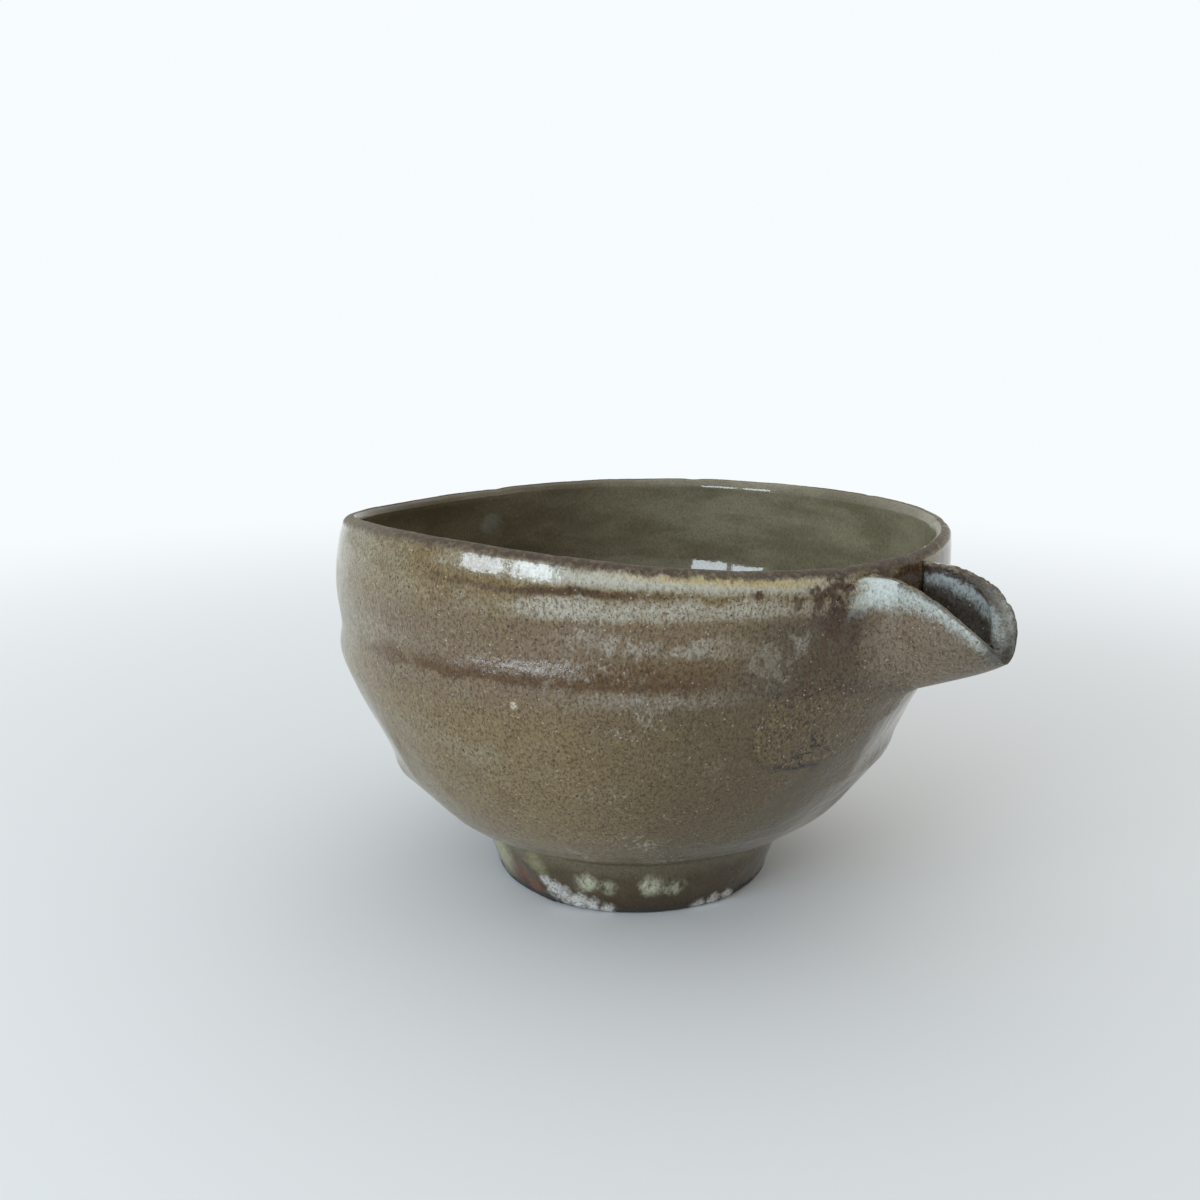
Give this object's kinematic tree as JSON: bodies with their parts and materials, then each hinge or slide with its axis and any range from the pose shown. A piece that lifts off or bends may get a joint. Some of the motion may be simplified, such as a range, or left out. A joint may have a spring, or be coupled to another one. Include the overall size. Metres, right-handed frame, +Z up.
{
  "type": "katakuchi sake pourer",
  "caption": "Wheel-thrown stoneware sake pourer: an open round bowl on a turned foot ring, with a hand-folded open beak luted below the lip.",
  "frame": {"origin": "centre of the foot ring's resting face, on the table", "axes": "+Z up, +X out along the beak"},
  "size_m": [0.1404, 0.1208, 0.0765],
  "materials": {
    "bowl_glaze": "olive-brown ash glaze with iron specks and milky bands",
    "foot_glaze": "brown glaze running thin to bare clay at the table",
    "beak_glaze": "speckled brown glaze, milky along the cut edges",
    "luting_glaze": "speckled brown glaze over smeared clay"
  },
  "bodies": {
    "root": {"bowl": "bowl_glaze", "foot_ring": "foot_glaze", "beak": "beak_glaze", "luting_clay": "luting_glaze"}
  },
  "joints": []
}
